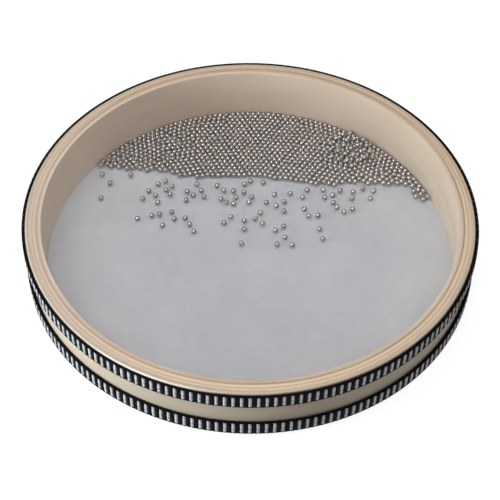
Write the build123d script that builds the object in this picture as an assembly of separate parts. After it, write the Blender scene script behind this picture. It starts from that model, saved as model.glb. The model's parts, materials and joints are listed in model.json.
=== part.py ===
from build123d import *
import math
import os

import numpy as np

# An ocean drum: a shallow plywood hoop closed by two heads, trimmed with two braids, with steel balls inside.
# Millimetres, +Z up, origin at the centre of the underside. The balls have rolled to the +Y side.

# Shell, a hoop bent from seven plies
SHELL_OUTER_DIAMETER = 355.0
SHELL_HEIGHT = 48.4
INNER_FACE_PLY = 2.8
INNER_CROSS_PLY = 1.4
INNER_CORE_PLY = 2.1
MIDDLE_CROSS_PLY = 1.0
OUTER_CORE_PLY = 1.3
OUTER_CROSS_PLY = 1.1
OUTER_FACE_PLY = 2.2
GLUE_LINE = 0.06
OUTER_EDGE_ROUND = 1.0
INNER_EDGE_ROUND = 0.5

# Heads, glued over the two edges of the shell and turned along its outside
LOWER_HEAD_THICKNESS = 0.5
UPPER_HEAD_THICKNESS = 0.4
HEAD_TURN_LENGTH = 11.0
HEAD_GLUE = 0.05

# Braids, a tape with an edge cord on each side and upright ribs between the cords
BRAID_WIDTH = 13.0
BRAID_GLUE = 0.05
UPPER_BRAID_BELOW_RIM = 0.2
LOWER_BRAID_ABOVE_BASE = 3.2
TAPE_THICKNESS = 1.4
EDGE_CORD_DIAMETER = 0.9
RIB_PITCH = 6.0
WHITE_RIB_WIDTH = 2.8
RIB_THICKNESS = 1.1
RIB_GAP = 0.1
BRAID_SEAM = 0.5

# Balls
BALL_DIAMETER = 4.5
BALL_GAP = 0.06
BALL_WALL_GAP = 0.4
BALL_SEAT_GAP = 0.3

# Heap of balls against the far wall, with a few that lie on top of it
HEAP_FRONT = 85.0
HEAP_FRONT_WAVE = 2.0
HEAP_FRONT_WAVE_LENGTH = 105.0
HEAP_ROW_BEND = 0.5
HEAP_TAIL_LENGTH = 16.0
HEAP_TAIL_WIDTH = 7.0
HEAP_CROWDING = 1.5
HEAP_ROUNDS = 6000
HEAP_ROUNDS_PER_SEARCH = 20
HEAP_SEARCH_REACH = 1.9
HEAP_PUSH_SHARE = 0.45
PILE_BEARING = 56.0
PILE_FROM_WALL = 18.0
PILE_REACH = 21.0
PILE_SPACING = 5.6
PILE_LOOSENESS = 0.7

# Loose balls, in lanes side by side along the heap's front: how many each lane holds, and how far they reach
LANES = ((3, 40), (4, 54), (12, 58), (9, 60), (9, 54), (13, 82), (10, 78), (9, 60), (8, 26), (3, 14), (0, 0))
LANE_GAP = 0.3
LANE_SEED = 20
LANE_TRIES = 400
LANE_THINNING = 1.15
LOOSE_FROM_HEAP = 1.5
LOOSE_APART = 1.5
ROLL_CLEARANCE = 0.3

# Radii and levels that the pieces share
SHELL_RADIUS = SHELL_OUTER_DIAMETER / 2
SHELL_BASE = LOWER_HEAD_THICKNESS + HEAD_GLUE
SHELL_TOP = SHELL_BASE + SHELL_HEIGHT
DRUM_HEIGHT = SHELL_TOP + HEAD_GLUE + UPPER_HEAD_THICKNESS
BALL_PITCH = BALL_DIAMETER + BALL_GAP
BALL_LEVEL = LOWER_HEAD_THICKNESS + BALL_SEAT_GAP + BALL_DIAMETER / 2


def around(section):
    """Carry a section, drawn as radius and height, once round the drum's axis."""
    return revolve(Plane.XZ * section, Axis.Z)


# Shell
def ply_ring(outer, thickness, inner_round=0.0, outer_round=0.0):
    """One ply: a ring whose inner or outer edges may be rounded."""
    section = Rectangle(thickness, SHELL_HEIGHT, align=(Align.MAX, Align.MIN))
    section = Pos(outer, SHELL_BASE) * section
    if inner_round:
        section = fillet(section.vertices().group_by(Axis.X)[0], inner_round)
    if outer_round:
        section = fillet(section.vertices().group_by(Axis.X)[-1], outer_round)
    return around(section)


def shell_plies():
    """The seven plies from the outside in, each a glue line inside the last, and the cavity's radius."""
    plies = {}
    outer = SHELL_RADIUS
    plies["outer_face_ply"] = ply_ring(outer, OUTER_FACE_PLY, outer_round=OUTER_EDGE_ROUND)
    outer -= OUTER_FACE_PLY + GLUE_LINE
    core = (("outer_cross_ply", OUTER_CROSS_PLY), ("outer_core_ply", OUTER_CORE_PLY),
            ("middle_cross_ply", MIDDLE_CROSS_PLY), ("inner_core_ply", INNER_CORE_PLY),
            ("inner_cross_ply", INNER_CROSS_PLY))
    for name, thickness in core:
        plies[name] = ply_ring(outer, thickness)
        outer -= thickness + GLUE_LINE
    plies["inner_face_ply"] = ply_ring(outer, INNER_FACE_PLY, inner_round=INNER_EDGE_ROUND)
    return plies, outer - INNER_FACE_PLY


# Heads
def turned_head(thickness):
    """A disc with its rim turned up round the shell's edge."""
    inner = SHELL_RADIUS + HEAD_GLUE
    outer = inner + thickness
    inner_round = OUTER_EDGE_ROUND + HEAD_GLUE
    outer_round = inner_round + thickness
    end = thickness + HEAD_GLUE + HEAD_TURN_LENGTH
    section = make_face([
        Line((0, 0), (outer - outer_round, 0)),
        CenterArc((outer - outer_round, outer_round), outer_round, -90, 90),
        Line((outer, outer_round), (outer, end)),
        Line((outer, end), (inner, end)),
        Line((inner, end), (inner, outer_round)),
        CenterArc((inner - inner_round, outer_round), inner_round, 0, -90),
        Line((inner - inner_round, thickness), (0, thickness)),
        Line((0, thickness), (0, 0)),
    ])
    return around(section)


# Braids
def seam_cut(ring):
    """Open a ring where the braid's two ends meet, at the far side."""
    tool = Box(BRAID_SEAM, SHELL_OUTER_DIAMETER, DRUM_HEIGHT, align=(Align.CENTER, Align.MIN, Align.MIN))
    return ring - tool


def rib(width, length):
    """One upright rib: a flat back and a round front, drawn about its back face."""
    back = Line((-width / 2, 0), (width / 2, 0))
    front = ThreePointArc((width / 2, 0), (0, RIB_THICKNESS), (-width / 2, 0))
    return extrude(make_face([back, front]), length)


def ring_of_ribs(one, radius, level, count, start):
    """Copies of one rib at even steps round the drum."""
    step = 360 / count
    places = [Rot(0, 0, start + step * index) * Pos(0, radius, level) for index in range(count)]
    return Compound([place * one for place in places])


def braid(name, bottom, head_thickness):
    """One braid: tape, two edge cords, white ribs and black ribs."""
    tape_inner = SHELL_RADIUS + HEAD_GLUE + head_thickness + BRAID_GLUE
    tape_outer = tape_inner + TAPE_THICKNESS
    tape_section = Pos(tape_inner, bottom) * Rectangle(TAPE_THICKNESS, BRAID_WIDTH, align=(Align.MIN, Align.MIN))
    cord_radius = EDGE_CORD_DIAMETER / 2
    cord = Torus(tape_outer + BRAID_GLUE + cord_radius, cord_radius)
    rib_seat = tape_outer + BRAID_GLUE
    count = round(2 * math.pi * rib_seat / RIB_PITCH)
    black_rib_width = 2 * math.pi * rib_seat / count - WHITE_RIB_WIDTH - 2 * RIB_GAP
    rib_length = BRAID_WIDTH - 2 * EDGE_CORD_DIAMETER - 2 * RIB_GAP
    rib_level = bottom + EDGE_CORD_DIAMETER + RIB_GAP
    white_start = math.degrees((WHITE_RIB_WIDTH + RIB_GAP) / 2 / rib_seat)
    white = rib(WHITE_RIB_WIDTH, rib_length)
    black = rib(black_rib_width, rib_length)
    print(name, "ribs of each colour:", count, "black rib width:", round(black_rib_width, 3))
    return {
        name + "_tape": seam_cut(around(tape_section)),
        name + "_bottom_cord": seam_cut(Pos(0, 0, bottom + cord_radius) * cord),
        name + "_top_cord": seam_cut(Pos(0, 0, bottom + BRAID_WIDTH - cord_radius) * cord),
        name + "_white_ribs": ring_of_ribs(white, rib_seat, rib_level, count, white_start),
        name + "_black_ribs": ring_of_ribs(black, rib_seat, rib_level, count, white_start + 180 / count),
    }


# Balls
def balls_at(spots):
    """One ball at each spot, a row of x, y and the height of its centre."""
    ball = Sphere(BALL_DIAMETER / 2)
    return Compound([Pos(*spot) * ball for spot in spots.tolist()])


def distances(spots):
    """Distance from each spot to each other one; to itself it counts as far away."""
    apart = np.hypot(spots[:, None, 0] - spots[None, :, 0], spots[:, None, 1] - spots[None, :, 1])
    np.fill_diagonal(apart, np.inf)
    return apart


def heap_rows(limit):
    """Close-packed rows bent towards the wall, from the far wall to a wavy front edge."""
    row_pitch = BALL_PITCH * math.sqrt(3) / 2
    across = math.ceil(limit / BALL_PITCH)
    row, column = np.meshgrid(np.arange(math.ceil(limit / row_pitch)), np.arange(-across, across + 1))
    x = (column + (row % 2) / 2) * BALL_PITCH
    sag = limit - np.sqrt(np.clip(limit ** 2 - x ** 2, 0, None))
    y = limit - row * row_pitch - HEAP_ROW_BEND * sag
    front = HEAP_FRONT + HEAP_FRONT_WAVE * np.cos(2 * math.pi * x / HEAP_FRONT_WAVE_LENGTH)
    tail = (x > 0) & (np.hypot(x, y) > limit - HEAP_TAIL_WIDTH)
    kept = (np.hypot(x, y) < limit + HEAP_CROWDING) & (y > front - HEAP_TAIL_LENGTH * tail)
    return np.column_stack([x[kept], y[kept]])


def pressed_heap(limit):
    """Push overlapping balls apart inside the wall until all of them are clear, then drop any that aren't."""
    spots = heap_rows(limit)
    for count in range(HEAP_ROUNDS):
        if count % HEAP_ROUNDS_PER_SEARCH == 0:
            apart = distances(spots)
            if apart.min() > BALL_PITCH - BALL_GAP / 2:
                break
            one, other = np.nonzero(np.triu(apart < BALL_PITCH + HEAP_SEARCH_REACH))
        line = spots[one] - spots[other]
        length = np.hypot(line[:, 0], line[:, 1])
        push = HEAP_PUSH_SHARE * line * (np.clip(BALL_PITCH - length, 0, None) / length)[:, None]
        for axis in (0, 1):
            spots[:, axis] += np.bincount(one, push[:, axis], len(spots))
            spots[:, axis] -= np.bincount(other, push[:, axis], len(spots))
        spots *= np.minimum(1, limit / np.hypot(spots[:, 0], spots[:, 1]))[:, None]
    crowded = np.triu(distances(spots) < BALL_PITCH - BALL_GAP / 2).any(axis=0)
    print("heap:", len(spots) - crowded.sum(), "balls after", count, "rounds,", crowded.sum(), "dropped")
    return spots[~crowded]


def piled_spots(heap, limit):
    """Hollows over three neighbouring balls of the heap, near the pile's centre, that hold a ball on top."""
    bearing = math.radians(PILE_BEARING)
    centre = (limit - PILE_FROM_WALL) * np.array([math.cos(bearing), math.sin(bearing)])
    patch = heap[np.hypot(*(heap - centre).T) < PILE_REACH + BALL_PITCH]
    close = distances(patch) < BALL_PITCH + PILE_LOOSENESS
    piled = []
    for first, second, third in np.argwhere(close[:, :, None] & close[:, None, :] & close[None, :, :]):
        if not first < second < third:
            continue
        b, c = patch[second] - patch[first], patch[third] - patch[first]
        twice_area = 2 * (b[0] * c[1] - b[1] * c[0])
        middle = np.array([c[1] * (b @ b) - b[1] * (c @ c), b[0] * (c @ c) - c[0] * (b @ b)]) / twice_area
        x, y = patch[first] + middle
        rise = math.sqrt(BALL_PITCH ** 2 - middle @ middle)
        spaced = all(math.hypot(x - u, y - v) > PILE_SPACING for u, v, _ in piled)
        inside = math.hypot(x, y) < limit and math.hypot(x - centre[0], y - centre[1]) < PILE_REACH
        lifted = np.hypot(np.hypot(patch[:, 0] - x, patch[:, 1] - y), rise).min() > BALL_PITCH - BALL_GAP / 2
        if spaced and inside and lifted:
            piled.append((x, y, BALL_LEVEL + rise))
    return np.array(piled)


def lane_spots(index, heap, limit):
    """The loose balls of one lane: scattered in front of the heap, thinning out towards the middle of the head."""
    count, reach = LANES[index]
    width = 2 * math.sqrt(limit ** 2 - HEAP_FRONT ** 2) / len(LANES)
    centre = width * (index + 0.5 - len(LANES) / 2)
    half = (width - BALL_DIAMETER - LANE_GAP) / 2
    facing = np.abs(heap[:, 0] - centre) < width / 2
    front = heap[facing, 1].min() - BALL_PITCH - LOOSE_FROM_HEAP
    draw = np.random.default_rng(LANE_SEED + index)
    tries = np.column_stack([centre + half * draw.uniform(-1, 1, LANE_TRIES),
                             front - reach * draw.uniform(0, 1, LANE_TRIES) ** LANE_THINNING])
    spots = []
    for spot in tries:
        clear = all(math.dist(spot, other) > BALL_DIAMETER + LOOSE_APART for other in spots)
        if clear and len(spots) < count:
            spots.append(spot)
    return np.column_stack([np.array(spots), np.full(len(spots), BALL_LEVEL)])


def roll_range(lane, heap, limit):
    """How far a lane rolls back to the heap and forward to the near wall, in millimetres."""
    forward = (lane[:, 1] + np.sqrt(limit ** 2 - lane[:, 0] ** 2)).min()
    side = np.abs(heap[None, :, 0] - lane[:, None, 0])
    reach = np.sqrt(np.clip(BALL_PITCH ** 2 - side ** 2, 0, None))
    back = np.where(side < BALL_PITCH, heap[None, :, 1] - lane[:, None, 1] - reach, np.inf).min()
    return back - ROLL_CLEARANCE, forward - ROLL_CLEARANCE


def ball_nodes(cavity_radius):
    """The heap, the balls on top of it and each lane of loose balls."""
    limit = cavity_radius - BALL_DIAMETER / 2 - BALL_WALL_GAP
    heap = pressed_heap(limit)
    floor = np.column_stack([heap, np.full(len(heap), BALL_LEVEL)])
    piled = piled_spots(heap, limit)
    nodes = {"heap_balls": balls_at(floor), "piled_balls": balls_at(piled)}
    print("piled balls:", len(piled), "highest centre:", round(piled[:, 2].max(), 2))
    for index, (count, _) in enumerate(LANES):
        if not count:
            continue
        lane = lane_spots(index, heap, limit)
        back, forward = roll_range(lane, heap, limit)
        name = f"loose_balls_{index + 1}"
        nodes[name] = balls_at(lane)
        nearest = distances(lane).min() - BALL_DIAMETER
        print(name, "balls:", len(lane), "least gap:", round(nearest, 2),
              "rolls back:", round(back, 2), "forward:", round(forward, 2))
    return nodes


# All nodes
def drum_nodes():
    nodes, cavity_radius = shell_plies()
    nodes["lower_head"] = turned_head(LOWER_HEAD_THICKNESS)
    nodes["upper_head"] = Pos(0, 0, DRUM_HEIGHT) * Rot(180, 0, 0) * turned_head(UPPER_HEAD_THICKNESS)
    upper_braid_base = DRUM_HEIGHT - UPPER_BRAID_BELOW_RIM - BRAID_WIDTH
    nodes |= braid("upper_braid", upper_braid_base, UPPER_HEAD_THICKNESS)
    nodes |= braid("lower_braid", LOWER_BRAID_ABOVE_BASE, LOWER_HEAD_THICKNESS)
    nodes |= ball_nodes(cavity_radius)
    print("cavity radius:", round(cavity_radius, 3), "drum height:", round(DRUM_HEIGHT, 3))
    return nodes


os.makedirs("parts", exist_ok=True)
for node, solid in drum_nodes().items():
    export_step(solid, f"parts/{node}.step")
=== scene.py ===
# %% [markdown]
# An ocean drum, dressed for the camera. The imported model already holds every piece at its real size:
# seven plies of a bent hoop, a skin below, a clear film above, two ribbed braids and about a thousand
# steel balls. This lesson keeps the pieces that only need a finish, and puts finer surfaces in place of
# the braids and the balls.

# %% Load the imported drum
import json
import math

import bpy
import numpy as np
from mathutils import Matrix, Vector


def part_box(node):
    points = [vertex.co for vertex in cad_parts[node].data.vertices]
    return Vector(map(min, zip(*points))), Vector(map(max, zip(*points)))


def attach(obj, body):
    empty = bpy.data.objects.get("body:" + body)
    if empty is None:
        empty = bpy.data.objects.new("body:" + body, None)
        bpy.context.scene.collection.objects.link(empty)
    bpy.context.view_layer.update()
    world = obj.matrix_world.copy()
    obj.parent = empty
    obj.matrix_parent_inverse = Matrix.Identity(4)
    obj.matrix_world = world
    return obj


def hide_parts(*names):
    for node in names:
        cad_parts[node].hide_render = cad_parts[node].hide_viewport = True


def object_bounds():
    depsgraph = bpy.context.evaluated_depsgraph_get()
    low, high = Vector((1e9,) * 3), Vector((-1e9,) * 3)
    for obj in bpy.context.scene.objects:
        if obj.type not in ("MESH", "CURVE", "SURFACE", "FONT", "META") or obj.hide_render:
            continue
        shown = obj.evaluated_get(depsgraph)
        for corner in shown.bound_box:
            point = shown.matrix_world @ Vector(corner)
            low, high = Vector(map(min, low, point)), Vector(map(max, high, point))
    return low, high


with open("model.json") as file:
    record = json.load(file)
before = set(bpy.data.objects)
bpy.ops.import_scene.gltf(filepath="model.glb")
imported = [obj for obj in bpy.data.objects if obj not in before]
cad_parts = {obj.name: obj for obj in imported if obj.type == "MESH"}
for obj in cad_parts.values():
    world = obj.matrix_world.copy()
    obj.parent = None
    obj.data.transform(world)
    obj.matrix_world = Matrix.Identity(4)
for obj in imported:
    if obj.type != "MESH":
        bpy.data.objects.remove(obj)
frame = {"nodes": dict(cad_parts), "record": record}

CAD_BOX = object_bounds()
NODES = frame["nodes"]
BODIES = frame["record"]["behaviour"]["bodies"]
MM = 0.001
DRUM_HEIGHT = CAD_BOX[1].z
HOOP_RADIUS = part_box("outer_face_ply")[1].x
print("drum box in mm:", [round(value / MM, 1) for corner in CAD_BOX for value in corner])
print("hoop radius in mm:", round(HOOP_RADIUS / MM, 2))

# %% [markdown]
# The camera comes first, so that every later choice can be judged in the picture's own view. The rim is
# two circles in one plane, and two circles seen as ellipses fix where the lens must stand: almost a metre
# from the middle of the rim, 46.6 degrees above it, a little off the line that the balls have rolled
# along. Its axes are written as a turn about Z, a tilt, and two small corrections for aim and roll.

# %% Camera
CAMERA_ELEVATION = math.radians(46.57)
CAMERA_TURN = math.radians(3.784)
CAMERA_AIM = math.radians(1.925)
CAMERA_ROLL = math.radians(-0.723)
CAMERA_DISTANCE = 0.9707
CAMERA_LENS = 88.11
SENSOR_WIDTH = 36.0


def place_camera():
    """Stand the lens on its ray from the rim's centre: tilt = 90 degrees less elevation, then aim, roll."""
    data = bpy.data.cameras.new("camera")
    data.lens = CAMERA_LENS
    data.sensor_width = SENSOR_WIDTH
    camera = bpy.data.objects.new("camera", data)
    turn = Matrix.Rotation(CAMERA_TURN, 4, "Z")
    tilt = Matrix.Rotation(math.pi / 2 - CAMERA_ELEVATION, 4, "X")
    aim = Matrix.Rotation(-CAMERA_AIM, 4, "X") @ Matrix.Rotation(-CAMERA_ROLL, 4, "Z")
    back = turn @ tilt @ Vector((0, 0, CAMERA_DISTANCE))
    camera.matrix_world = Matrix.Translation(back + Vector((0, 0, DRUM_HEIGHT))) @ turn @ tilt @ aim
    bpy.context.collection.objects.link(camera)
    bpy.context.scene.camera = camera
    return camera


CAMERA = place_camera()
print("camera at", [round(value, 3) for value in CAMERA.location])

# %% [markdown]
# Most of the finishes are small graphs of shader nodes. Building them by hand means many lines that only
# create a node and join it up, so one helper does that: it makes a node, sets its options, and sets or
# links each input. The others are short names for the few kinds of node that come up again and again.

# %% Helpers for shader nodes
def add(tree, kind, inputs, **options):
    """Make one shader node; an input that is a socket is linked, anything else is set as a value."""
    made = tree.nodes.new("ShaderNode" + kind)
    for key, value in options.items():
        setattr(made, key, value)
    for key, value in inputs.items():
        if isinstance(value, bpy.types.NodeSocket):
            tree.links.new(value, made.inputs[key])
        else:
            made.inputs[key].default_value = value
    return made


def ramp(tree, factor, stops):
    """Colour from a factor: stops is a list of position and colour."""
    made = add(tree, "ValToRGB", {"Fac": factor})
    elements = made.color_ramp.elements
    while len(elements) < len(stops):
        elements.new(0.5)
    for element, (position, colour) in zip(elements, stops):
        element.position = position
        element.color = (*colour, 1)
    return made.outputs["Color"]


def level(tree, factor, low, high, start=0.0, end=1.0):
    """A factor between start and end, stretched to run from low to high."""
    sizes = {"From Min": start, "From Max": end, "To Min": low, "To Max": high}
    return add(tree, "MapRange", {"Value": factor, **sizes}).outputs["Result"]


def noise(tree, place, scale, detail):
    """A cloudy pattern; scale is how many of its cells fit in one unit of place."""
    return add(tree, "TexNoise", {"Vector": place, "Scale": scale, "Detail": detail}).outputs["Fac"]


def mixed(tree, share, first, second):
    """Two patterns made into one; share is how much the second counts."""
    return add(tree, "Mix", {"Factor": share, 2: first, 3: second}).outputs["Result"]


def times(tree, first, second):
    """Two vectors or colours multiplied part by part."""
    return add(tree, "VectorMath", {0: first, 1: second}, operation="MULTIPLY").outputs["Vector"]


def scaled(tree, vector, share):
    """A vector or colour times one number."""
    return add(tree, "VectorMath", {0: vector, "Scale": share}, operation="SCALE").outputs["Vector"]


def worked(tree, operation, first, second):
    """One operation on two numbers."""
    return add(tree, "Math", {0: first, 1: second}, operation=operation).outputs["Value"]


def bump(tree, height, depth):
    """A bump normal from a height pattern; depth in metres is what one unit of height stands for."""
    return add(tree, "Bump", {"Height": height, "Distance": depth, "Strength": 1.0}).outputs["Normal"]


def object_place(tree):
    """A point's place in the drum's own axes, in metres."""
    return add(tree, "TexCoord", {}).outputs["Object"]


def part_of(tree, vector, axis):
    """One part of a vector: X, Y or Z."""
    return add(tree, "SeparateXYZ", {0: vector}).outputs[axis]


def new_material(name, inputs):
    """A material with its main shader, whose plain values are set straight on the shader's sockets."""
    material = bpy.data.materials.new(name)
    material.use_nodes = True
    tree = material.node_tree
    shader = tree.nodes["Principled BSDF"]
    for key, value in inputs.items():
        shader.inputs[key].default_value = value
    return material, tree, shader


def feed(tree, shader, sockets):
    """Link finished patterns to the main shader's inputs."""
    for key, socket in sockets.items():
        tree.links.new(socket, shader.inputs[key])


print("shader helpers ready")

# %% [markdown]
# Wood grain on a bent hoop follows the bend. A straight grain texture would cut across it, and a texture
# wrapped by angle has a seam. So the pattern is read in four dimensions: the unit direction from the
# axis, two numbers that close on themselves all round; the height; and the radius. Long in direction and
# short in height and radius, a noise becomes fibres that run round the hoop. Short in direction, it
# becomes the specks of cut fibre ends.

# %% Grain that follows the hoop
def from_axis(tree, place):
    """A point's distance from the drum's axis, and the level unit vector that points to it from there."""
    flat = times(tree, place, (1, 1, 0))
    radius = add(tree, "VectorMath", {0: flat}, operation="LENGTH").outputs["Value"]
    direction = add(tree, "VectorMath", {0: flat}, operation="NORMALIZE").outputs["Vector"]
    return radius, direction


def hoop_noise(tree, cell, offset, detail=2.0, roughness=0.5):
    """Noise with cells of two sizes in metres: one along the hoop, the other in height and radius."""
    along, across = cell
    place = object_place(tree)
    radius, direction = from_axis(tree, place)
    round_the_hoop = scaled(tree, direction, HOOP_RADIUS / along)
    upright = times(tree, place, (0, 0, 1 / across))
    spot = add(tree, "VectorMath", {0: round_the_hoop, 1: upright}, operation="ADD").outputs["Vector"]
    depth = worked(tree, "ADD", worked(tree, "DIVIDE", radius, across), offset)
    look = {"Vector": spot, "W": depth, "Scale": 1.0, "Detail": detail, "Roughness": roughness}
    return add(tree, "TexNoise", look, noise_dimensions="4D").outputs["Fac"]


print("hoop grain ready")

# %% [markdown]
# The hoop is birch plywood. Its long plies show pale fibres that run round the rim, and its cross plies
# show cut fibre ends, browner and speckled, so that the rim reads as thin rings. One material made from a
# pale and a deep tone would make all rings alike, so each ply gets its own pair of tones and its own part
# of the noise. Three of the inner plies also change tone slowly from the front of the hoop to its back:
# that moves the rim's dark line from one ply to the next, as it does in the picture.

# %% Birch finishes
FIBRE_CELL = (32 * MM, 0.55 * MM)
FIGURE_CELL = (70 * MM, 7 * MM)
SPECK_CELL = (0.8 * MM, 0.5 * MM)
STRETCH_CELL = (60 * MM, 3 * MM)
FIBRE_BUMP = 0.05 * MM
SPECK_BUMP = 0.06 * MM
FIGURE_SHARE = 0.45
STRETCH_SHARE = 0.55
SLOW_OFFSET = 40
KNOT_CELL = 15 * MM
KNOT_RADIUS = 0.5 * MM
KNOT_SHADE = 0.6
PLAIN = (1, 1, 1)


def painted_shade_by_facing(tree, colour, face, edge):
    """The hoop's faces, which look sideways, take one tint of painted shade; its cut edge, which looks up,
    takes another.
    """
    up = part_of(tree, add(tree, "NewGeometry", {}).outputs["Normal"], "Z")
    return times(tree, colour, ramp(tree, up, [(0.5, face), (0.98, edge)]))


def front_to_back(tree, colour, front, back, start, end):
    """A tint that changes from front to back while the direction's Y goes from start to end."""
    direction = from_axis(tree, object_place(tree))[1]
    behind = level(tree, part_of(tree, direction, "Y"), 0.0, 1.0, start=start, end=end)
    return times(tree, colour, ramp(tree, behind, [(0, front), (1, back)]))


def knotted(tree, colour):
    """Pin knots: a point is darkened when it lies within a pin's radius of a random spot, one to a cell."""
    spots = add(tree, "TexVoronoi", {"Vector": object_place(tree), "Scale": 1 / KNOT_CELL})
    radius = KNOT_RADIUS / KNOT_CELL
    dark = level(tree, spots.outputs["Distance"], KNOT_SHADE, 1.0, start=0.7 * radius, end=1.3 * radius)
    return scaled(tree, colour, dark)


def long_grain(name, pale, deep, offset, face=PLAIN, edge=PLAIN, change=None):
    """Fibres round the hoop over a slow drift of tone, under a satin lacquer, with painted shade on face
    and edge.
    """
    material, tree, shader = new_material(name, {"Specular IOR Level": 0.35})
    fibres = hoop_noise(tree, FIBRE_CELL, offset, detail=3.0, roughness=0.6)
    figure = hoop_noise(tree, FIGURE_CELL, offset + SLOW_OFFSET)
    both = mixed(tree, FIGURE_SHARE, fibres, figure)
    colour = ramp(tree, both, [(0.34, deep), (0.66, pale)])
    if change:
        colour = front_to_back(tree, colour, *change)
    feed(tree, shader, {
        "Base Color": knotted(tree, painted_shade_by_facing(tree, colour, face, edge)),
        "Roughness": level(tree, fibres, 0.42, 0.58),
        "Normal": bump(tree, fibres, FIBRE_BUMP),
    })
    return material


def cross_grain(name, pale, deep, offset, change=None):
    """Specks of cut fibre ends, gathered into darker and lighter stretches round the rim."""
    material, tree, shader = new_material(name, {"Specular IOR Level": 0.3})
    specks = hoop_noise(tree, SPECK_CELL, offset, roughness=0.6)
    stretches = hoop_noise(tree, STRETCH_CELL, offset + SLOW_OFFSET)
    both = mixed(tree, STRETCH_SHARE, specks, stretches)
    colour = ramp(tree, both, [(0.34, deep), (0.62, pale)])
    if change:
        colour = front_to_back(tree, colour, *change)
    feed(tree, shader, {
        "Base Color": colour,
        "Roughness": level(tree, specks, 0.5, 0.7),
        "Normal": bump(tree, specks, SPECK_BUMP),
    })
    return material


print("birch finishes ready")

# %% [markdown]
# Now the tones, ply by ply from the outside in: the finish, its pale and deep tone, and anything special.
# The outer ply carries painted shade: the outside of the hoop is painted a little greyer than its cut edge,
# and both a little darker.

# %% Seven plies
PLY_OFFSET = 7.0
# painted shade on the outer ply: darker tints for its outside face and its cut edge
OUTER_PAINTED_SHADE = {"face": (0.75, 0.78, 0.78), "edge": (0.80, 0.79, 0.77)}
DARK_AT_BACK = {"change": (PLAIN, (0.70, 0.63, 0.59), 0.2, 0.75)}
DARK_AT_FRONT = {"change": ((0.80, 0.77, 0.74), PLAIN, 0.2, 0.75)}
DARK_VERY_FRONT = {"change": ((0.80, 0.77, 0.74), PLAIN, -1.0, -0.5)}
PLIES = {
    "outer_face_ply": (long_grain, (0.78, 0.635, 0.48), (0.69, 0.54, 0.395), OUTER_PAINTED_SHADE),
    "outer_cross_ply": (cross_grain, (0.69, 0.53, 0.385), (0.51, 0.355, 0.23), {}),
    "outer_core_ply": (long_grain, (0.79, 0.635, 0.46), (0.69, 0.54, 0.38), {}),
    "middle_cross_ply": (cross_grain, (0.65, 0.495, 0.335), (0.53, 0.385, 0.25), {}),
    "inner_core_ply": (long_grain, (0.81, 0.65, 0.475), (0.71, 0.555, 0.395), DARK_AT_BACK),
    "inner_cross_ply": (cross_grain, (0.68, 0.50, 0.35), (0.48, 0.325, 0.215), DARK_AT_FRONT),
    "inner_face_ply": (long_grain, (0.75, 0.625, 0.485), (0.63, 0.51, 0.39), DARK_VERY_FRONT),
}
for index, (ply, (finish, pale, deep, special)) in enumerate(PLIES.items()):
    NODES[ply].data.materials[0] = finish(ply + "_birch", pale, deep, PLY_OFFSET * index, **special)
print("plies finished:", len(PLIES))

# %% [markdown]
# The lower head is a stretched skin: nearly white, a little blue, with cloudy patches a few centimetres
# across and a fine pebble that takes the shine off. Two noises make the clouds, and a third makes the
# pebble. The skin also carries painted shade toward the right of the drum, a little deeper there, which
# evens out the light that comes in low from the left.

# %% Drum skin
SKIN_DEEP = (0.522, 0.545, 0.591)
SKIN_PALE = (0.608, 0.624, 0.663)
CLOUD_SCALE = 22.0
PATCH_SCALE = 150.0
PEBBLE_SCALE = 1400.0
PATCH_SHARE = 0.4
PEBBLE_BUMP = 0.03 * MM
PAINTED_SHADE_START = -60 * MM
PAINTED_SHADE_END = 100 * MM
PAINTED_SHADE_LEVEL = 0.92


def drum_skin():
    """Clouds of two sizes between two greys, painted shade deeper toward one side, and a fine pebbled bump.
    """
    material, tree, shader = new_material("drum_skin", {"Specular IOR Level": 0.15})
    place = object_place(tree)
    patches = noise(tree, place, PATCH_SCALE, detail=3.0)
    clouds = mixed(tree, PATCH_SHARE, noise(tree, place, CLOUD_SCALE, detail=3.0), patches)
    colour = ramp(tree, clouds, [(0.3, SKIN_DEEP), (0.7, SKIN_PALE)])
    # painted shade: the colour is darkened toward the right of the drum
    painted_shade = level(tree, part_of(tree, place, "X"), 1.0, PAINTED_SHADE_LEVEL, start=PAINTED_SHADE_START, end=PAINTED_SHADE_END)
    feed(tree, shader, {
        "Base Color": scaled(tree, colour, painted_shade),
        "Roughness": level(tree, patches, 0.62, 0.8, start=0.3, end=0.7),
        "Normal": bump(tree, noise(tree, place, PEBBLE_SCALE, detail=2.0), PEBBLE_BUMP),
    })
    return material


NODES["lower_head"].data.materials[0] = drum_skin()
print("skin finished")

# %% [markdown]
# The upper head is a clear film. It hardly shows over the balls, but where it is pulled round the rim's
# outer corner, on the front left, it carries a thin cream line of painted highlight, and there is a breath
# of painted sheen on the rim at the left. The film is one shader: mostly let through by its alpha, with the
# alpha raised and the see-through part lowered where light is painted. Each stretch comes from how well a
# point's direction from the axis agrees with the stretch's middle angle.

# %% Clear film
# the base colour shows only where the alpha is raised: the cream of the painted highlight and painted sheen
FILM = {"Base Color": (0.93, 0.82, 0.73, 1), "Roughness": 0.15, "IOR": 1.4}
FILM_CLEAR = 0.06
# alpha of the film where light is painted on it
PAINTED_LIGHT_ALPHA = 0.95
SEE_THROUGH_END = 0.15
FILM_CORNER = 1.15 * MM
# painted highlight along the rim's outer corner on the front left
PAINTED_HIGHLIGHT_MIDDLE = math.radians(249)
PAINTED_HIGHLIGHT_FULL = math.radians(4)
PAINTED_HIGHLIGHT_END = math.radians(20)
# painted sheen on the rim at the left
PAINTED_SHEEN_MIDDLE = math.radians(200)
PAINTED_SHEEN_END = math.radians(75)
PAINTED_SHEEN_SHARE = 0.14
RIM_INNER = 165.2 * MM
RIM_STEP = 2 * MM


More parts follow.
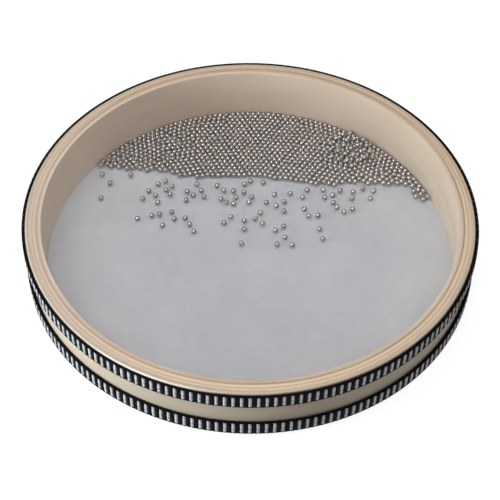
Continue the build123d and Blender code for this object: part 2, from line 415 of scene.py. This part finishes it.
def stretch_about(tree, direction, middle, full, end):
    """One near the direction of the middle angle, fading to nothing at the end angle away from it."""
    toward = (math.cos(middle), math.sin(middle), 0)
    agreement = add(tree, "VectorMath", {0: direction, 1: toward}, operation="DOT_PRODUCT").outputs["Value"]
    return level(tree, agreement, 0.0, 1.0, start=math.cos(end), end=math.cos(full))


def clear_film():
    """Clear everywhere but on the corner's stretch of painted highlight and in the painted sheen, where it
    turns milky.
    """
    material, tree, shader = new_material("clear_film", FILM)
    radius, direction = from_axis(tree, object_place(tree))
    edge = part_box("upper_head")[1].x
    on_rim = level(tree, radius, 0.0, 1.0, start=RIM_INNER, end=RIM_INNER + RIM_STEP)
    corner = level(tree, radius, 0.0, 1.0, start=edge - FILM_CORNER, end=edge - 0.6 * FILM_CORNER)
    sheen_side = stretch_about(tree, direction, PAINTED_SHEEN_MIDDLE, 0, PAINTED_SHEEN_END)
    painted_highlight = stretch_about(tree, direction, PAINTED_HIGHLIGHT_MIDDLE, PAINTED_HIGHLIGHT_FULL, PAINTED_HIGHLIGHT_END)
    painted_sheen = level(tree, worked(tree, "MULTIPLY", on_rim, sheen_side), 0.0, PAINTED_SHEEN_SHARE)
    # painted light: the larger of the painted sheen and the painted highlight
    painted_light = worked(tree, "MAXIMUM", painted_sheen, worked(tree, "MULTIPLY", corner, painted_highlight))
    feed(tree, shader, {
        "Alpha": level(tree, painted_light, FILM_CLEAR, PAINTED_LIGHT_ALPHA),
        "Transmission Weight": level(tree, painted_light, 1.0, 0.0, end=SEE_THROUGH_END),
    })
    return material


NODES["upper_head"].data.materials[0] = clear_film()
print("film finished")

# %% [markdown]
# The braid is a woven tape that carries upright bars of wound thread, white and black in turn, between
# two twisted edge cords. All of its pieces are closed sections carried along a path, so one builder of
# faces is enough: it joins each section to the next, closes both ends, and can repeat the whole for many
# copies. It works on whole arrays.

# %% Surfaces from grids of points
def tube_faces(rows, columns, copies=1):
    """Faces of tubes of closed sections: quads from a section to the next, and a flat face at each end."""
    row, column = np.meshgrid(np.arange(rows - 1), np.arange(columns), indexing="ij")
    here = row * columns + column
    beside = row * columns + (column + 1) % columns
    quads = np.stack([here, beside, beside + columns, here + columns], axis=-1).reshape(-1, 4)
    ends = np.stack([np.arange(columns)[::-1], np.arange(columns) + (rows - 1) * columns])
    shift = rows * columns * np.arange(copies)[:, None, None]
    return (quads + shift).reshape(-1, 4).tolist() + (ends + shift).reshape(-1, columns).tolist()


def make_piece(name, points, faces, material, uv=None):
    """A smooth mesh at the origin from points in metres; uv gives each point its place in the pattern."""
    mesh = bpy.data.meshes.new(name)
    mesh.from_pydata(points.reshape(-1, 3), [], faces)
    if uv is not None:
        corner = np.empty(len(mesh.loops), dtype=np.int32)
        mesh.loops.foreach_get("vertex_index", corner)
        mesh.uv_layers.new(name="thread").data.foreach_set("uv", uv.reshape(-1, 2)[corner].ravel())
    mesh.polygons.foreach_set("use_smooth", np.ones(len(mesh.polygons), dtype=bool))
    mesh.materials.append(material)
    piece = bpy.data.objects.new(name, mesh)
    bpy.context.collection.objects.link(piece)
    return piece


def at_angle(radius, angle, height):
    """Points from radius, angle from +Y and height."""
    parts = np.broadcast_arrays(-radius * np.sin(angle), radius * np.cos(angle), height)
    return np.stack(parts, axis=-1)


def stand_for(piece, node):
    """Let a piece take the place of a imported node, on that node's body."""
    body = next(name for name, members in BODIES.items() if node in members)
    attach(piece, body)
    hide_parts(node)


print("surface builders ready")

# %% [markdown]
# Wound thread shines along the thread, and its colour carries painted shade between two turns. The pattern
# reads the piece's own UV map: V runs along a bar, so that a wave in V draws the turns, and a noise
# stretched in U lets single fibres wander.

# %% Wound thread
THREAD_TURNS = 14
WAVE_UNITS = 20
FIBRE_STRETCH = 1.5
FIBRE_SCALE = 2.2
THREAD_BUMP = 0.08 * MM


def wound_thread(name, bright, shade, shine):
    """Turns of thread across a bar: a wave along V, roughened by fibres, as colour with painted shade
    between turns and as bump.
    """
    material, tree, shader = new_material(name, {"Roughness": 0.5, "Specular IOR Level": shine})
    place = add(tree, "TexCoord", {}).outputs["UV"]
    stretched = times(tree, place, (FIBRE_STRETCH, THREAD_TURNS, 1))
    fibre = noise(tree, stretched, FIBRE_SCALE, detail=3.0)
    look = {"Vector": place, "Scale": THREAD_TURNS / WAVE_UNITS, "Distortion": 1.2, "Detail": 2.0}
    wave = add(tree, "TexWave", look, bands_direction="Y").outputs["Fac"]
    # the colour ramp puts painted shade between the turns of thread
    both = mixed(tree, 0.5, wave, fibre)
    feed(tree, shader, {
        "Base Color": ramp(tree, both, [(0.2, shade), (0.6, bright)]),
        "Normal": bump(tree, both, THREAD_BUMP),
    })
    return material


WHITE_THREAD = wound_thread("white_thread", (0.65, 0.65, 0.67), (0.44, 0.44, 0.47), shine=0.5)
BLACK_THREAD = wound_thread("black_thread", (0.0055, 0.0055, 0.0060), (0.002, 0.002, 0.0022), shine=0.03)
print("threads finished")

# %% [markdown]
# The tape is a flat band with rounded edges. It starts and ends at a seam on the far side, where the two
# ends of the braid meet, so it is a tube with ends rather than a closed ring. The upper tape is set down
# a little at its top, and its top cord with it, so that the rim's pale edge stands clear of the braid.

# %% Woven tape
BRAIDS = ("upper", "lower")
TAPE_STEPS = 376
TAPE_CORNER = 0.6 * MM
TAPE_SEAT = 0.04 * MM
TAPE_DROP = {"upper": 0.9 * MM, "lower": 0.0}
TAPE_REPEATS = 400
SEAM_WIDTH = 0.1 * MM


def ring_angles(steps, radius):
    """Angles from one side of the seam all the way round to its other side."""
    gap = SEAM_WIDTH / 2 / radius
    return np.linspace(gap, math.tau - gap, steps + 1)


def woven_tape(braid):
    """A rounded rectangle, four corners of three points each, carried round the drum."""
    node = braid + "_braid_tape"
    low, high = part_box(node)
    outer = high.y - TAPE_CORNER
    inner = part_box(braid + "_head")[1].x + TAPE_SEAT + TAPE_CORNER
    bottom = low.z + TAPE_CORNER
    top = high.z - TAPE_DROP[braid] - TAPE_CORNER
    quarters = np.repeat(np.arange(4), 3) * math.pi / 2
    swing = quarters + np.tile(np.radians([0, 45, 90]), 4)
    radius = np.repeat([outer, inner, inner, outer], 3) + TAPE_CORNER * np.cos(swing)
    height = np.repeat([top, top, bottom, bottom], 3) + TAPE_CORNER * np.sin(swing)
    angle = ring_angles(TAPE_STEPS, high.y)[:, None]
    points = at_angle(radius[None, :], angle, height[None, :])
    uv = np.stack(np.broadcast_arrays(height[None, :] / MM, angle / math.tau * TAPE_REPEATS), axis=-1)
    piece = make_piece(braid + "_tape", points, tube_faces(*points.shape[:2]), BLACK_THREAD, uv)
    stand_for(piece, node)


for braid in BRAIDS:
    woven_tape(braid)
print("tapes made:", len(BRAIDS))

# %% [markdown]
# Each edge cord is two strands twisted together. A round tube would look like wire, so the section is a
# round with two lobes, and the lobes turn as the section travels: the radius of a point is the mean
# radius plus a cosine of twice the angle round the section less the twist.

# %% Twisted edge cords
CORD_TWISTS = 300
CORD_STEPS = 2400
CORD_SIDES = 8
CORD_LOBE = 0.14
CORD_REPEATS = 60
CORD_DROP = {"top_cord": TAPE_DROP, "bottom_cord": {"upper": 0.0, "lower": 0.0}}


def twisted_cord(braid, edge):
    """Radius = mean times (1 - lobe + lobe cos 2(section angle - twist)), carried round the drum."""
    node = f"{braid}_braid_{edge}"
    low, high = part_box(node)
    thick = (high.z - low.z) / 2
    centre = high.y - thick
    middle = (low.z + high.z) / 2 - CORD_DROP[edge][braid]
    angle = ring_angles(CORD_STEPS, centre)[:, None]
    swing = np.linspace(0, math.tau, CORD_SIDES, endpoint=False)[None, :]
    lobes = np.cos(2 * swing - CORD_TWISTS * angle)
    section = thick * (1 - CORD_LOBE + CORD_LOBE * lobes)
    points = at_angle(centre + section * np.cos(swing), angle, middle + section * np.sin(swing))
    uv = np.stack(np.broadcast_arrays(swing, angle * CORD_REPEATS), axis=-1)
    piece = make_piece(f"{braid}_{edge}", points, tube_faces(*points.shape[:2]), BLACK_THREAD, uv)
    stand_for(piece, node)


for braid in BRAIDS:
    for edge in CORD_DROP:
        twisted_cord(braid, edge)
print("edge cords made:", len(BRAIDS) * len(CORD_DROP))

# %% [markdown]
# The bars are what the eye sees first. Each is a half-round of wound thread that leans a little, hooks to
# one side at its top, is cut off at a slant, and reaches down over the bottom cord. No two are quite
# alike, so a seeded generator varies their depth, lean and width a little. A bar has only five points
# across and thirteen along, because there are hundreds of them: the turns of thread are raised on every
# other row.

# %% Bars of wound thread
BARS = 188
BAR_ROWS = 13
BAR_ACROSS = np.array([-1, -0.85, 0, 0.85, 1])
BAR_SEAT = 0.02 * MM
BAR_LEAN = -0.06 * MM
BAR_HOOK = 0.2 * MM
BAR_HOOK_START = 0.8
BAR_SLANT = 0.15 * MM
BAR_OVER_CORD = {"upper": 0.9 * MM, "lower": 0.6 * MM}
BAR_END_TRIM = 0.02
BAR_END_POWER = 0.2
BAR_END_WIDTH = 0.92
BAR_FROM_SEAM = 0.1 * MM
TURN_HEIGHT = 0.05 * MM
DEPTH_VARIES = 0.06
LEAN_VARIES = 0.5
WIDTH_VARIES = 0.05
WHITE_BAR_WIDTH = 2.6 * MM
WHITE_FULLNESS = 0.45
BLACK_FULLNESS = 0.8


def varied(draw, share):
    """One factor for each bar, no further from one than the share."""
    return 1 + share * draw.uniform(-1, 1, (BARS, 1, 1))


def bars(braid, colour, width, fullness, start, material, seed):
    """Half-round bars, u across, v along: depth = thickness times (1 - u squared) to the power of fullness.
    The depth dies away at both ends of v, and the lean and hook shift each row sideways."""
    node = f"{braid}_braid_{colour}_ribs"
    low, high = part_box(node)
    bottom = low.z - BAR_OVER_CORD[braid]
    top = high.z - TAPE_DROP[braid] / 2
    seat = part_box(braid + "_braid_tape")[1].y
    thickness = high.y - seat - TURN_HEIGHT
    draw = np.random.default_rng(seed)
    v = np.linspace(0, 1, BAR_ROWS)[None, :, None]
    u = BAR_ACROSS[None, None, :]
    round_front = 1 - u ** 2
    swell = np.sin(math.pi * np.clip(v, BAR_END_TRIM, 1 - BAR_END_TRIM)) ** BAR_END_POWER
    turns = TURN_HEIGHT * (np.arange(BAR_ROWS) % 2)[None, :, None]
    depth = thickness * round_front ** fullness * swell * varied(draw, DEPTH_VARIES)
    depth = depth + turns * round_front
    lean = BAR_LEAN * (1 - 2 * v) * varied(draw, LEAN_VARIES)
    hook = BAR_HOOK * np.clip((v - BAR_HOOK_START) / (1 - BAR_HOOK_START), 0, 1) ** 2
    narrowing = BAR_END_WIDTH + (1 - BAR_END_WIDTH) * swell
    arc = width / 2 * u * narrowing * varied(draw, WIDTH_VARIES) + lean - hook
    slant = BAR_SLANT / 2 * (1 + u * np.abs(2 * v - 1))
    height = bottom + (top - bottom - BAR_SLANT) * v + slant
    copy = np.arange(BARS)[:, None, None]
    angle = start + copy * math.tau / BARS + arc / seat
    points = at_angle(seat + BAR_SEAT + depth, angle, height)
    uv = np.stack(np.broadcast_arrays((u + 1) / 2 + copy, v), axis=-1)
    faces = tube_faces(BAR_ROWS, len(BAR_ACROSS), copies=BARS)
    piece = make_piece(f"{braid}_{colour}_bars", points, faces, material, uv)
    stand_for(piece, node)


for index, braid in enumerate(BRAIDS):
    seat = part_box(braid + "_braid_tape")[1].y
    first = (WHITE_BAR_WIDTH / 2 + BAR_FROM_SEAM) / seat
    black_width = math.tau * seat / BARS - WHITE_BAR_WIDTH
    bars(braid, "white", WHITE_BAR_WIDTH, WHITE_FULLNESS, first, WHITE_THREAD, seed=index)
    bars(braid, "black", black_width, BLACK_FULLNESS, first + math.pi / BARS, BLACK_THREAD, seed=index + 10)
print("bars in each colour and braid:", BARS)

# %% [markdown]
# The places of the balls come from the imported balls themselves. The corners of every triangle there lie
# on a ball, so a step back from the triangle's own centre, along its normal, lands on the centre of that
# ball. Slivers near a ball's poles would give poor normals, so they are left out first.

# %% Where the balls lie
BALL_RADIUS = (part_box("heap_balls")[1].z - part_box("heap_balls")[0].z) / 2
SLIVER_SHARE = 0.25


def squared(vectors):
    """Each vector's length squared, as a column."""
    return (vectors ** 2).sum(axis=1, keepdims=True)


def ball_centres(node):
    """Centre = circumcentre less normal times the root of (ball radius squared - circumradius squared).
    The triangles of one ball follow each other, so a jump of the centre starts the next ball, and each ball
    takes the mean of its own."""
    mesh = NODES[node].data
    place = np.empty(len(mesh.vertices) * 3, dtype=np.float32)
    mesh.vertices.foreach_get("co", place)
    corner = np.empty(len(mesh.loops), dtype=np.int32)
    mesh.loops.foreach_get("vertex_index", corner)
    triangle = place.reshape(-1, 3)[corner].reshape(-1, 3, 3).astype(float)
    size = squared(np.cross(triangle[:, 1] - triangle[:, 0], triangle[:, 2] - triangle[:, 0]))
    triangle = triangle[size[:, 0] > SLIVER_SHARE * np.median(size)]
    first = triangle[:, 0]
    b = triangle[:, 1] - first
    c = triangle[:, 2] - first
    normal = np.cross(b, c)
    step = np.cross(squared(b) * c - squared(c) * b, normal) / (2 * squared(normal))
    rise = np.sqrt(np.clip(BALL_RADIUS ** 2 - squared(step), 0, None))
    centre = first + step - normal / np.sqrt(squared(normal)) * rise
    jump = np.linalg.norm(np.diff(centre, axis=0), axis=1) > BALL_RADIUS
    ball = np.concatenate([[0], np.cumsum(jump)])
    share = np.bincount(ball)
    return np.stack([np.bincount(ball, centre[:, axis]) / share for axis in range(3)], axis=-1)


CENTRES = {node: ball_centres(node) for node in NODES if "balls" in node}
print("balls found:", {node: len(spots) for node, spots in CENTRES.items()})

# %% [markdown]
# A thousand balls need a light mesh. A ball with poles crowds its faces at two points, so each ball here
# is a cube with three squares by three on each side, blown up to a sphere: even faces, few of them, and
# smooth under a smooth shader. Small steel balls are polished but not mirrors: each has a bright spot
# from the lamp and a grey-brown body that takes its tone from the wood around it. A shader that is half
# metal, with a low, uneven roughness, gives both.

# %% Steel balls
BALL_SPLITS = 3
STEEL_DEEP = (0.315, 0.29, 0.272)
STEEL_PALE = (0.38, 0.35, 0.33)
STEEL_METAL = 0.45
SCUFF_SCALE = 700.0
LOT_SCALE = 120.0


def polished_steel():
    """Metal whose tone and roughness drift from ball to ball and over each ball."""
    material, tree, shader = new_material("polished_steel", {"Metallic": STEEL_METAL})
    place = object_place(tree)
    scuffs = noise(tree, place, SCUFF_SCALE, detail=2.0)
    lots = noise(tree, place, LOT_SCALE, detail=1.0)
    both = mixed(tree, 0.5, scuffs, lots)
    feed(tree, shader, {
        "Base Color": ramp(tree, both, [(0.3, STEEL_DEEP), (0.7, STEEL_PALE)]),
        "Roughness": level(tree, both, 0.13, 0.17, start=0.3, end=0.7),
    })
    return material


def blown_cube(splits):
    """A cube's surface points pushed out to the unit sphere; tangent spacing keeps the faces even."""
    spacing = np.tan(np.linspace(-1, 1, splits + 1) * math.pi / 4)
    p, q = np.meshgrid(spacing, spacing, indexing="ij")
    one = np.ones_like(p)
    sides = [(one, p, q), (-one, q, p), (q, one, p), (p, -one, q), (p, q, one), (q, p, -one)]
    points = np.concatenate([np.stack(side, axis=-1).reshape(-1, 3) for side in sides])
    row, column = np.meshgrid(np.arange(splits), np.arange(splits), indexing="ij")
    corner = (row * (splits + 1) + column).ravel()
    quad = np.stack([corner, corner + splits + 1, corner + splits + 2, corner + 1], axis=-1)
    faces = np.concatenate([quad + index * (splits + 1) ** 2 for index in range(len(sides))])
    kept, place = np.unique(np.round(points, 6), axis=0, return_inverse=True)
    return kept / np.linalg.norm(kept, axis=1, keepdims=True), place.reshape(-1)[faces]


def steel_balls(node, material):
    """A copy of the blown cube at each centre: point = centre + radius times the cube's point."""
    ball_points, ball_faces = blown_cube(BALL_SPLITS)
    centres = CENTRES[node]
    points = centres[:, None] + BALL_RADIUS * ball_points[None]
    faces = ball_faces[None] + np.arange(len(centres))[:, None, None] * len(ball_points)
    piece = make_piece("steel_" + node, points, faces.reshape(-1, 4).tolist(), material)
    stand_for(piece, node)


STEEL = polished_steel()
for node in CENTRES:
    steel_balls(node, STEEL)
print("balls made:", sum(len(spots) for spots in CENTRES.values()))

# %% [markdown]
# The drum lies on a pale floor that fills the picture. A floor lit to pure white would throw too much
# light back up at the outside of the hoop, so the floor itself is a light grey. For the camera, for
# reflections and for light seen through the film, a white glow is added on top, which makes the floor
# white and leaves the drum's shadow on it.

# %% Floor
FLOOR_SIZE = 30.0
FLOOR_GREY = (0.30, 0.30, 0.30, 1)
FLOOR_GLOW = 0.85
WHITE = (1, 1, 1, 1)


def pale_floor():
    """Diffuse grey plus a white glow that only camera, glossy and transmitted rays see."""
    material = bpy.data.materials.new("pale_floor")
    material.use_nodes = True
    tree = material.node_tree
    tree.nodes.clear()
    rays = add(tree, "LightPath", {}).outputs
    seen = worked(tree, "MAXIMUM", rays["Is Camera Ray"], rays["Is Glossy Ray"])
    seen = worked(tree, "MAXIMUM", seen, rays["Is Transmission Ray"])
    glow = worked(tree, "MULTIPLY", seen, FLOOR_GLOW)
    paper = add(tree, "BsdfDiffuse", {"Color": FLOOR_GREY}).outputs[0]
    white = add(tree, "Emission", {"Color": WHITE, "Strength": glow}).outputs[0]
    both = add(tree, "AddShader", {0: paper, 1: white}).outputs[0]
    add(tree, "OutputMaterial", {"Surface": both})
    return material


half = FLOOR_SIZE / 2
corners = np.array([(-half, -half, 0), (half, -half, 0), (half, half, 0), (-half, half, 0)])
floor = make_piece("studio_floor", corners, [(0, 1, 2, 3)], pale_floor())
print("floor is", FLOOR_SIZE, "m square")

# %% [markdown]
# Three lamps and a sky. A wide panel overhead lights the rim, the skin and the inside of the hoop evenly.
# A cooler lamp low on the left lights the outside: that is why the band is bright on the left and dim on
# the right. A soft box above the left shoulder gives every ball its one bright spot. The panel is kept
# out of reflections, so that the balls show the sky and the wood instead of one wide white patch, and the
# soft box is for reflections alone. Together they light a flat white card to just about white.

# %% Light
COOL = (0.86, 0.93, 1.0)
SKY_COLOUR = (0.95, 0.97, 1.0, 1)
SKY_STRENGTH = 0.32


def lamp(name, toward, distance, size, energy, colour=(1.0, 1.0, 1.0)):
    """A square lamp that faces the drum from a distance along a direction."""
    data = bpy.data.lights.new(name, "AREA")
    data.size = size
    data.energy = energy
    data.color = colour
    made = bpy.data.objects.new(name, data)
    direction = Vector(toward).normalized()
    made.location = direction * distance
    made.rotation_mode = "QUATERNION"
    made.rotation_quaternion = direction.to_track_quat("Z", "Y")
    bpy.context.collection.objects.link(made)
    return made


def plain_sky():
    """The same light from every side."""
    world = bpy.data.worlds.new("sky")
    world.use_nodes = True
    sky = world.node_tree.nodes["Background"]
    sky.inputs["Color"].default_value = SKY_COLOUR
    sky.inputs["Strength"].default_value = SKY_STRENGTH
    bpy.context.scene.world = world


panel = lamp("overhead_panel", toward=(0.05, -0.06, 1.0), distance=1.5, size=2.2, energy=13.8)
panel.visible_glossy = False
lamp("side_lamp", toward=(-0.88, -0.44, 0.17), distance=0.95, size=0.3, energy=8.4, colour=COOL)
soft_box = lamp("soft_box", toward=(-0.32, -0.28, 0.91), distance=1.6, size=1.4, energy=56.0)
soft_box.visible_diffuse = False
soft_box.visible_transmission = False
plain_sky()
bpy.context.scene.view_settings.view_transform = "Standard"
print("lamps:", [light.name for light in bpy.data.lights])
